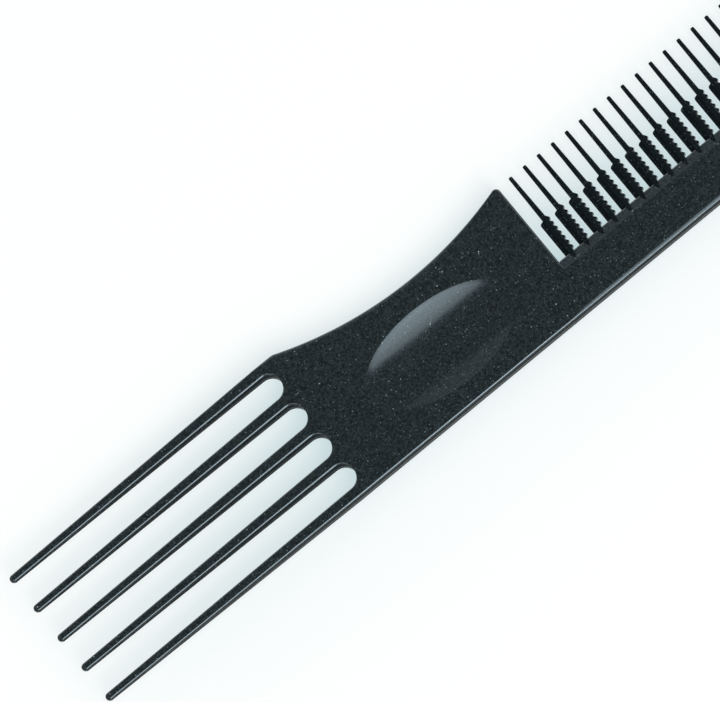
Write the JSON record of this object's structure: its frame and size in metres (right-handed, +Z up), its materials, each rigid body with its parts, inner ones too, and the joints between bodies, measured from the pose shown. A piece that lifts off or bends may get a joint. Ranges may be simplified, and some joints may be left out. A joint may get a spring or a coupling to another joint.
{
  "type": "teasing comb",
  "caption": "Flat moulded teasing comb: prongs of a lift fork at one end, a waisted handle with thumb rests, and a row of slender teeth with serrated steps.",
  "frame": {"origin": "middle of the comb's length and width, on the flat face that it lies on", "axes": "+X from the prong tips towards the end guard, +Y from the spine's outer edge towards the tooth tips, +Z up through the thickness"},
  "size_m": [0.2062, 0.0324, 0.0044],
  "materials": {
    "speckled_plastic": "satin charcoal with fine pale flecks",
    "tooth_plastic": "satin charcoal, the same resin as the body"
  },
  "bodies": {
    "root": {"fork_bridge": "speckled_plastic", "grip": "speckled_plastic", "spine": "speckled_plastic", "end_guard": "speckled_plastic", "lift_prong_1": "speckled_plastic", "lift_prong_2": "speckled_plastic", "lift_prong_3": "speckled_plastic", "lift_prong_4": "speckled_plastic", "lift_prong_5": "speckled_plastic", "teasing_tooth_01": "tooth_plastic", "teasing_tooth_02": "tooth_plastic", "teasing_tooth_03": "tooth_plastic", "teasing_tooth_04": "tooth_plastic", "teasing_tooth_05": "tooth_plastic", "teasing_tooth_06": "tooth_plastic", "teasing_tooth_07": "tooth_plastic", "teasing_tooth_08": "tooth_plastic", "teasing_tooth_09": "tooth_plastic", "teasing_tooth_10": "tooth_plastic", "teasing_tooth_11": "tooth_plastic", "teasing_tooth_12": "tooth_plastic", "teasing_tooth_13": "tooth_plastic", "teasing_tooth_14": "tooth_plastic", "teasing_tooth_15": "tooth_plastic", "teasing_tooth_16": "tooth_plastic", "teasing_tooth_17": "tooth_plastic", "teasing_tooth_18": "tooth_plastic", "teasing_tooth_19": "tooth_plastic", "teasing_tooth_20": "tooth_plastic", "teasing_tooth_21": "tooth_plastic", "teasing_tooth_22": "tooth_plastic", "teasing_tooth_23": "tooth_plastic"}
  },
  "joints": []
}
